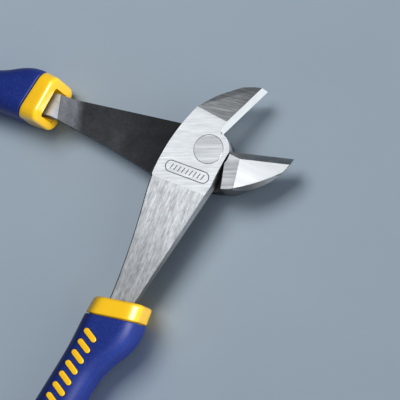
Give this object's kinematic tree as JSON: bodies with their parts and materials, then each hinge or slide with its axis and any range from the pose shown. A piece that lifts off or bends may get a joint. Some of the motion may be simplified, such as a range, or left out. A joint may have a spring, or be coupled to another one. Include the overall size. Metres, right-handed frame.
{
  "type": "diagonal cutting pliers",
  "caption": "Hand-held diagonal cutting pliers: two forged steel levers on a flush rivet, bevelled cutting jaws, and two-shot grips with a hard collar and a soft cover.",
  "frame": {"origin": "on the pivot axis, at the flat back face of the joint", "axes": "+X forward from the pivot along the line that halves the open jaws, +Y towards the front lever's jaw, +Z along the pivot axis out of the front face"},
  "size_m": [0.1673, 0.2174, 0.0191],
  "materials": {
    "ground_steel": "forged tool steel, ground bright on its faces, with fine brush marks",
    "dark_steel": "forged tool steel, black where it is unground and bright where it is ground",
    "rivet_steel": "steel ground flush with the joint's faces",
    "yellow_plastic": "hard smooth yellow plastic with a soft gloss",
    "blue_rubber": "soft blue thermoplastic rubber with a fine satin grain"
  },
  "bodies": {
    "back_half": {"back_lever": "dark_steel", "pivot_rivet": "rivet_steel", "back_grip_core": "yellow_plastic", "back_grip_cover": "blue_rubber"},
    "front_half": {"front_lever": "ground_steel", "front_grip_core": "yellow_plastic", "front_grip_cover": "blue_rubber"}
  },
  "joints": [
    {"name": "jaw_pivot", "type": "hinge", "parent": "back_half", "child": "front_half", "pos_m": [0, 0, 0.00575], "axis": [0, 0, 1], "range_deg": [-53.4, 5]}
  ]
}
